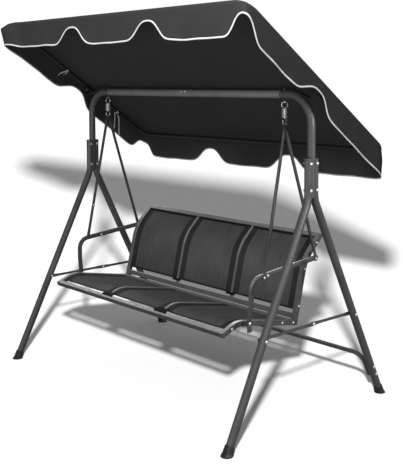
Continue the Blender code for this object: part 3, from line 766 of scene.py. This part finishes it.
def stitch_row(path):
    """Short thread stitches lying along a path."""
    path = resampled(path, 0.0035)
    parts = []
    for a, b in list(zip(path, path[1:]))[::2]:
        axis, u, w = frame_of(b - a)
        middle = (a + b) / 2
        reach = (b - a).length * 0.62
        ring = [middle + u * 0.0004, middle + w * 0.0004, middle - u * 0.0004, middle - w * 0.0004]
        verts = [middle - axis * reach] + ring + [middle + axis * reach]
        faces = [(0, 2, 1), (0, 3, 2), (0, 4, 3), (0, 1, 4), (5, 1, 2), (5, 2, 3), (5, 3, 4), (5, 4, 1)]
        parts.append((verts, faces))
    return parts


# --------------------------------------------------------------------- springs

def spring_path():
    """Wire of one spring: hook loop, coil and the same loop upside down."""
    middle = (SPRING_TOP + SPRING_LOW) / 2
    loop_z = SPRING_TOP - SPRING_LOOP_R
    end_part = []
    for k in range(25):
        a = math.radians(130 - 310 * k / 24)
        end_part.append(Vector((0, SPRING_LOOP_R * math.sin(a), loop_z + SPRING_LOOP_R * math.cos(a))))
    coil_top = loop_z - SPRING_LOOP_R - 0.0035
    end_part.append(Vector((0.0008, 0.0050, coil_top + 0.0028)))
    end_part.append(Vector((0.0034, 0.0095, coil_top + 0.0010)))
    start = math.radians(51)
    total = 2 * start + 2 * math.pi * SPRING_TURNS
    drop = 2 * (coil_top - middle)
    steps = SPRING_TURNS * 22
    coil = []
    for k in range(steps + 1):
        a = start - total * k / steps
        z = coil_top - drop * k / steps
        coil.append(Vector((SPRING_COIL_R * math.cos(a), SPRING_COIL_R * math.sin(a), z)))
    lower = [Vector((p.x, -p.y, 2 * middle - p.z)) for p in reversed(end_part)]
    return end_part + coil + lower


def twisted(path, turn):
    """Spring whose upper hook is turned about the spring's axis."""
    low, high = path[-1].z, path[0].z
    return [Matrix.Rotation(turn * (p.z - low) / (high - low), 3, "Z") @ p for p in path]


def build_springs(mat):
    """Round-wire springs that stretch between the hangers and the pins."""
    for side, tag, turn in ((-1, "left", 0), (1, "right", math.radians(-40))):
        path = [p + X_AXIS * side * HANG_X for p in twisted(spring_path(), turn)]
        spring = wire("spring_coil_" + tag, path, SPRING_WIRE, 10, mat)
        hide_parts("spring_" + tag)
        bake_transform(spring)


# ------------------------------------------------------------------- fasteners

def bolt_parts(place, axis, size=0.0065):
    """Domed bolt head on a washer; axis points away from the tube."""
    washer = [(-0.0006, size * 1.25), (0.0010, size * 1.25), (0.0012, size * 1.15)]
    head = [(0.0011, size), (0.0030, size), (0.0044, size * 0.82), (0.0050, size * 0.45)]
    return [turned_part(place, axis, washer, 20), turned_part(place, axis, head, 16)]


def nut_parts(place, axis, size=0.0072):
    """Hexagon nut with a washer and the end of its bolt."""
    washer = [(-0.0006, size * 1.2), (0.0010, size * 1.2)]
    nut = [(0.0011, size * 0.94), (0.0016, size), (0.0058, size), (0.0066, size * 0.90)]
    shank = [(0.0062, size * 0.52), (0.0092, size * 0.52), (0.0098, size * 0.42)]
    return [turned_part(place, axis, washer, 20), turned_part(place, axis, nut, 6),
            turned_part(place, axis, shank, 14)]


def build_fasteners(zinc):
    """Bolt heads and nuts of the frame, the chair and the canopy."""
    frame = []
    chair = []
    canopy = []
    leg_y = 0.3155
    for s in (-1, 1):
        outside = (s, 0, 0)
        inside = (-s, 0, 0)
        for end in (-1, 1):
            for z in (1.200, 1.078):
                frame += bolt_parts((s * LEG_OUTSIDE, end * 0.0215, z), outside)
                frame += nut_parts((s * LEG_INSIDE, end * 0.0215, z), inside, 0.0062)
            frame += bolt_parts((s * LEG_OUTSIDE, end * leg_y, 0.445), outside)
            frame += nut_parts((s * 0.8358, end * leg_y, 0.445), inside, 0.0062)
        for z in (0.112, 0.152):
            y = 0.538 - 0.5 * z
            frame += bolt_parts((s * LEG_OUTSIDE, y, z), outside)
        frame += bolt_parts((s * 0.8409, 0.045, 0.445), outside)
        frame += nut_parts((s * 0.8302, 0.045, 0.445), inside, 0.0062)
        chair += bolt_parts((s * 0.7082, -0.148, 0.6715), outside, 0.0056)
        chair += bolt_parts((s * 0.7024, -0.119, 0.6755), outside, 0.0058)
        chair += bolt_parts((s * 0.7074, 0.221, 0.7065), outside)
        chair += nut_parts((s * 0.6776, 0.221, 0.7065), inside, 0.0060)
        chair += bolt_parts((s * 0.6775, -0.073, 0.6790), inside, 0.0050)
        chair += bolt_parts((s * 0.6952, -0.110, 0.8530), inside, 0.0054)
        chair += bolt_parts((s * 0.6813, -0.217, 0.4640), outside)
        chair += bolt_parts((s * 0.6749, -0.325, 0.4600), outside, 0.0060)
        for y, z in ((0.010, 0.4222), (0.088, 0.4080), (0.1275, 0.4820), (0.1715, 0.6580), (0.262, 0.776)):
            chair += bolt_parts((s * 0.6749, y, z), outside, 0.0050)
        canopy += nut_parts((s * 0.9236, 0, PIVOT_Z), outside, 0.0062)
    for x in (-0.019, 0.010):
        frame += bolt_parts((x, -0.0165, BAR_Z + 0.0095), (0, -0.866, 0.5), 0.0058)
    for name, parts, body in (("frame_bolts", frame, "frame"), ("chair_bolts", chair, "chair"),
                              ("canopy_nuts", canopy, "canopy")):
        obj = merged(name, parts, zinc)
        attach(obj, body)


def ring_part(centre, axis, inner, outer, width):
    """Vertices and faces of a flat ring with a hole through it."""
    axis, u, w = frame_of(axis)
    rings = []
    for radius, along in ((inner, -width), (outer, -width), (outer, width), (inner, width)):
        ring = []
        for k in range(32):
            a = 2 * math.pi * k / 32
            offset = (u * math.cos(a) + w * math.sin(a)) * radius
            ring.append(Vector(centre) + axis * along / 2 + offset)
        rings.append(ring)
    return skin(rings, loop_rings=True)


def block_part(centre, half, tilt):
    """Vertices and faces of a box turned about X."""
    turn = Matrix.Rotation(tilt, 3, "X")
    verts = []
    for sx, sy, sz in ((-1, -1, -1), (1, -1, -1), (1, 1, -1), (-1, 1, -1),
                       (-1, -1, 1), (1, -1, 1), (1, 1, 1), (-1, 1, 1)):
        verts.append(Vector(centre) + turn @ Vector((sx * half[0], sy * half[1], sz * half[2])))
    faces = [(3, 2, 1, 0), (4, 5, 6, 7), (0, 1, 5, 4), (1, 2, 6, 5), (2, 3, 7, 6), (3, 0, 4, 7)]
    return verts, faces


def build_caps(plastic):
    """Plastic plugs in the open tube ends, rings at the joints and stops at the arm posts."""
    chair = []
    frame = []
    for s in (-1, 1):
        frame.append(ring_part((s * 0.6801, 0, BAR_Z), (1, 0, 0), LEG_R - 0.0002, LEG_R + 0.0004, 0.0030))
        nut = [(-0.0004, 0.0072), (0.0085, 0.0072), (0.0112, 0.0056), (0.0122, 0.0028)]
        frame.append(turned_part((s * HANG_X, 0, BAR_Z + LEG_R), (0, 0, 1), nut, 16))
        chair.append(ring_part((s * 0.7072, -0.148, 0.6715), (1, 0, 0), 0.0040, 0.0100, 0.0022))
        chair.append(block_part((s * 0.6786, -0.2485, 0.4708), (0.0034, 0.0145, 0.0115),
                                math.radians(-10.8)))
        plug = [(-0.010, 0.0108), (0.0003, 0.0108), (0.0004, 0.0128), (0.0030, 0.0126), (0.0042, 0.0098)]
        chair.append(turned_part((s * 0.690, 0.2380, 0.7085), (0, 0.9957, 0.0923), plug, 20))
        foot = [(-0.008, 0.0094), (0.0003, 0.0094), (0.0004, 0.0112), (0.0028, 0.0110), (0.0040, 0.0085)]
        frame.append(turned_part((s * 0.8296, 0.488, 0.100), (0, 0.447, -0.894), foot, 20))
    for name, parts, body in (("arm_end_caps", chair, "chair"), ("cross_tube_caps", frame, "frame")):
        obj = merged(name, parts, plastic)
        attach(obj, body)


# ------------------------------------------------------------------ tie tapes

def ribbon(name, path, across, width, mat):
    """Flat tape of even width along a path."""
    rows = [[p - across * width / 2, p + across * width / 2] for p in path]
    verts, faces = skin(rows, loop_points=False)
    obj = mesh_object(name, verts, faces, [mat])
    mod = obj.modifiers.new("thickness", "SOLIDIFY")
    mod.thickness = 0.0009
    mod.offset = 0.0
    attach(obj, "canopy")
    return obj


def build_ties(mat):
    """Tapes sewn in the cover and passed under the side tubes, with short ends in front."""
    along = canopy_point(0, 1, 0) - canopy_point(0, 0, 0)
    ends = (("front_a", -0.18, Vector((0, -0.052, -0.026)), Vector((0, 0.5, 0.86)), 0.012),
            ("front_b", -0.165, Vector((0, -0.026, -0.014)), Vector((0, 0.6, 0.8)), 0.009),
            ("rear_a", 0.262, Vector((0, -0.004, -0.100)), Vector((0, 1, 0)), 0.009),
            ("rear_b", 0.292, Vector((0, 0.010, -0.125)), Vector((0, 1, 0)), 0.011))
    for side, tag in ((-1, "left"), (1, "right")):
        for v, place in ((-0.172, "front"), (0.277, "rear")):
            under = []
            for k in range(13):
                a = math.radians(165 + 165 * k / 12)
                x = side * (CANOPY_X + 0.0116 * math.cos(a))
                under.append(canopy_point(x, v, 0.0116 * math.sin(a)))
            ribbon(f"tie_loop_{place}_{tag}", under, along, 0.016, mat)
        for name, v, fall, across, width in ends:
            tail = []
            for k in range(12):
                t = k / 11
                knot = canopy_point(side * (CANOPY_X - 0.004 + 0.004 * math.sin(5 * t + 9 * v)), v, -0.0135)
                tail.append(knot + Vector((0, fall.y * t, fall.z * t * (0.4 + 0.6 * t))))
            ribbon(f"tie_end_{name}_{tag}", tail, across, width, mat)


# ------------------------------------------------------------ studio and camera

def build_world():
    """White behind the bench for the camera, and a dimmer soft sky as its light."""
    world = bpy.data.worlds.new("studio")
    bpy.context.scene.world = world
    world.use_nodes = True
    tree = world.node_tree
    sky = tree.nodes["Background"]
    sky.inputs["Color"].default_value = (1.0, 1.0, 1.0, 1.0)
    sky.inputs["Strength"].default_value = SKY_LIGHT
    backdrop = tree.nodes.new("ShaderNodeBackground")
    backdrop.inputs["Color"].default_value = (1.0, 1.0, 1.0, 1.0)
    backdrop.inputs["Strength"].default_value = 1.0
    path = tree.nodes.new("ShaderNodeLightPath")
    mix = tree.nodes.new("ShaderNodeMixShader")
    tree.links.new(path.outputs["Is Camera Ray"], mix.inputs[0])
    tree.links.new(sky.outputs[0], mix.inputs[1])
    tree.links.new(backdrop.outputs[0], mix.inputs[2])
    tree.links.new(mix.outputs[0], tree.nodes["World Output"].inputs["Surface"])


def build_floor_lamp(floor_only):
    """Small lamp over the camera, stronger with distance, so that the white floor is even."""
    lamp = bpy.data.lights.new("floor_lamp", "POINT")
    lamp.energy = FLOOR_POWER
    lamp.shadow_soft_size = FLOOR_LAMP_SIZE
    lamp.use_nodes = True
    tree = lamp.node_tree
    falloff = tree.nodes.new("ShaderNodeLightFalloff")
    falloff.inputs["Strength"].default_value = FLOOR_GAIN
    path = tree.nodes.new("ShaderNodeLightPath")
    even = tree.nodes.new("ShaderNodeMath")
    even.operation = "MULTIPLY"
    tree.links.new(falloff.outputs["Constant"], even.inputs[0])
    tree.links.new(path.outputs["Ray Length"], even.inputs[1])
    tree.links.new(even.outputs[0], tree.nodes["Emission"].inputs["Strength"])
    place_light("floor_lamp", lamp, FLOOR_LAMP, floor_only)


def build_softboxes(lit_pieces, kept_dark):
    """Each softbox lights its own pieces; two of them also shine through the cover."""
    cover = lit_pieces["cover"]
    receivers = {"metal and panels": light_group("all_but_dark_pieces", "EXCLUDE", kept_dark)}
    for name, pieces in lit_pieces.items():
        receivers[name] = light_group(name + " only", "INCLUDE", pieces)
    blockers = light_group("all_but_cover", "EXCLUDE", cover)
    for name, (place, energy, wide, lit) in SOFTBOXES.items():
        light = bpy.data.lights.new(name, "AREA")
        light.energy = energy
        light.size = wide
        obj = place_light(name, light, place, receivers[lit])
        if name in THROUGH_COVER:
            obj.light_linking.blocker_collection = blockers


def place_light(name, light, place, receivers):
    """Light that the camera doesn't see, aimed at the bench and limited to its receivers."""
    obj = bpy.data.objects.new(name, light)
    obj.location = place
    obj.rotation_euler = (Vector(place) - LIGHT_TARGET).to_track_quat("Z", "Y").to_euler()
    obj.visible_camera = False
    bpy.context.scene.collection.objects.link(obj)
    obj.light_linking.receiver_collection = receivers
    return obj


def light_group(name, state, objects):
    """Collection that includes or excludes its objects as receivers of a light."""
    group = bpy.data.collections.new(name)
    for i, obj in enumerate(objects):
        group.objects.link(obj)
        group.collection_objects[i].light_linking.link_state = state
    return group


def build_studio():
    """World, paper floor and the floor's own lamp."""
    build_world()
    size = 80
    corners = [(-size, -size, 0), (size, -size, 0), (size, size, 0), (-size, size, 0)]
    floor = mesh_object("studio_floor", corners, [(0, 1, 2, 3)], [studio_floor("floor_paper")])
    build_floor_lamp(light_group("floor_only", "INCLUDE", [floor]))
    bpy.context.scene.view_settings.view_transform = "Standard"
    return floor


def build_camera():
    """Camera from its heading, pitch and roll."""
    camera = bpy.data.cameras.new("camera")
    camera.lens = CAMERA_LENS
    camera.sensor_width = 36
    camera.shift_y = CAMERA_SHIFT
    camera.clip_end = 200
    obj = bpy.data.objects.new("camera", camera)
    level = math.cos(CAMERA_PITCH)
    forward = Vector((-math.sin(CAMERA_YAW) * level, math.cos(CAMERA_YAW) * level, -math.sin(CAMERA_PITCH)))
    right = Vector((math.cos(CAMERA_YAW), math.sin(CAMERA_YAW), 0))
    up = right.cross(forward)
    c, s = math.cos(CAMERA_ROLL), math.sin(CAMERA_ROLL)
    right, up = right * c + up * s, up * c - right * s
    matrix = Matrix((right, up, -forward)).transposed().to_4x4()
    matrix.translation = CAMERA_PLACE
    obj.matrix_world = matrix
    bpy.context.scene.collection.objects.link(obj)
    bpy.context.scene.camera = obj


def finish_cad_nodes(frame, finishes):
    """Better materials and smooth shading on the CAD pieces that stay in view."""
    for node in frame["nodes"].values():
        slot = node.data.materials[0].name.split(".")[0] if node.data.materials else ""
        for key, mat in finishes.items():
            if slot.startswith(key):
                node.material_slots[0].material = mat
        node.data.shade_smooth()
        node.data.set_sharp_from_angle(angle=math.radians(35))


def nodes_named(frame, starts):
    """CAD pieces whose names begin with one of the given words."""
    return [node for name, node in frame["nodes"].items() if name.startswith(starts)]


def main():
    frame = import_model()
    build_camera()
    floor = build_studio()
    steel = powder_coat("powder_coat_grey", (0.044, 0.045, 0.046), (0.058, 0.059, 0.060))
    zinc = zinc_plate("bright_zinc", (0.74, 0.75, 0.76), (0.92, 0.93, 0.94))
    # Darker copy of the bright zinc for the eye bolts: painted shade.
    shade_darkened_zinc = zinc_plate("shade_darkened_zinc", (0.10, 0.10, 0.10), (0.16, 0.16, 0.16))
    plastic = moulded_plastic("moulded_black", 0.008)
    panel = woven_mesh("woven_panel", (0.024, 0.024, 0.0245), (0.050, 0.0505, 0.051), 0.96)
    hem = woven_mesh("woven_hem", (0.010, 0.010, 0.010), (0.016, 0.016, 0.0165), 1.0)
    thread = moulded_plastic("dark_thread", 0.02)
    outer = canopy_cloth("canopy_outside", (0.052, 0.0525, 0.053), (0.068, 0.0685, 0.069), 0.15)
    # The inside is the same cloth as the outside in a darker colour: painted shade under the canopy.
    inner = canopy_cloth("canopy_inside_painted_shade", (0.030, 0.030, 0.030), (0.042, 0.042, 0.042), 0.02)
    tape = binding_tape("light_binding", (0.52, 0.52, 0.52), (0.66, 0.66, 0.66))
    tie = binding_tape("grey_tie_tape", (0.46, 0.46, 0.46), (0.60, 0.60, 0.60))
    finish_cad_nodes(frame, {"powder_coated_steel": steel, "zinc_plated_steel": zinc,
                             "black_plastic": plastic})
    # The eye bolts that hold the springs get the darker zinc copy: painted shade.
    for eye_bolt in nodes_named(frame, ("eye_bolt_",)):
        eye_bolt.material_slots[0].material = shade_darkened_zinc
    cover, binding = build_cover(outer, inner, tape)
    build_ties(tie)
    panels = build_panels(panel, hem, thread)
    build_tabs(hem)
    build_springs(zinc)
    build_fasteners(zinc)
    build_caps(plastic)
    lit_pieces = {
        "cover": [cover, binding],
        "chair metal": nodes_named(frame, ("seat_", "back_", "arm_rest_right")),
        "frame metal": nodes_named(frame, ("leg_", "corner_", "top_bar_", "brace_", "rear_cross_")),
        "top bar": nodes_named(frame, ("top_bar_",)),
        "seat panels": panels["seat"],
        "back panels": panels["back"],
    }
    canopy_tubes = nodes_named(frame, ("canopy_front_", "canopy_rear_", "canopy_side_", "canopy_br"))
    build_softboxes(lit_pieces, [floor, cover, binding] + canopy_tubes)


main()
